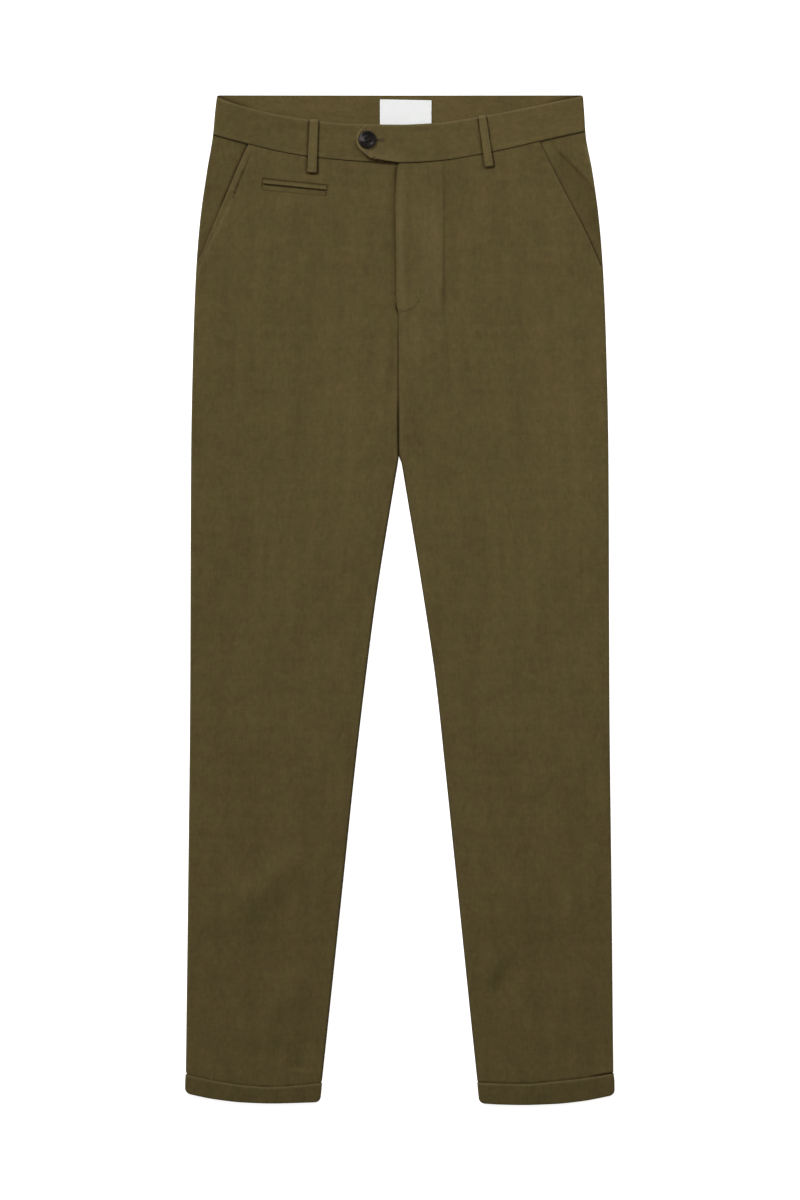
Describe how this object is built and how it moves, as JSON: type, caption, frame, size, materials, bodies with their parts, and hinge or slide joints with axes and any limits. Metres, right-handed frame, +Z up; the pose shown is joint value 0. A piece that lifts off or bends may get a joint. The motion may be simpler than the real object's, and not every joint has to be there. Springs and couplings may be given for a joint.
{
  "type": "suit trousers",
  "caption": "Slim suit trousers laid flat, in olive slubbed cloth, with a tab waistband, button, concealed fly, slanted pockets, belt loops and turn-ups.",
  "frame": {"origin": "on the surface it lies on, below the middle of its outline", "axes": "+X towards the wearer's left, +Y towards the waist, +Z up, out of the front"},
  "size_m": [0.4637, 1.0896, 0.0116],
  "materials": {
    "olive_cloth": "matt plain weave of slubbed yarn, mottled olive brown",
    "inside_cloth": "the same cloth, seen from its inner side",
    "label_weave": "fine white satin-edged weave, bare",
    "dark_button": "smooth, softly glossy, near black",
    "zip_tape": "matt woven tape with a fine moulded chain"
  },
  "bodies": {
    "root": {"front_right": "olive_cloth", "front_left": "olive_cloth", "back_right": "olive_cloth", "back_left": "olive_cloth", "pocket_facing_right": "olive_cloth", "pocket_facing_left": "olive_cloth", "ticket_jet_upper": "olive_cloth", "ticket_jet_lower": "olive_cloth", "waistband_right": "olive_cloth", "waistband_left": "olive_cloth", "waistband_back": "inside_cloth", "fly_shield": "inside_cloth", "fly_zip": "zip_tape", "belt_loop_front_right": "olive_cloth", "belt_loop_front_left": "olive_cloth", "belt_loop_back_right": "olive_cloth", "belt_loop_back_centre": "olive_cloth", "belt_loop_back_left": "olive_cloth", "turn_up_right": "olive_cloth", "turn_up_left": "olive_cloth", "waist_button": "dark_button", "waist_label": "label_weave"}
  },
  "joints": []
}
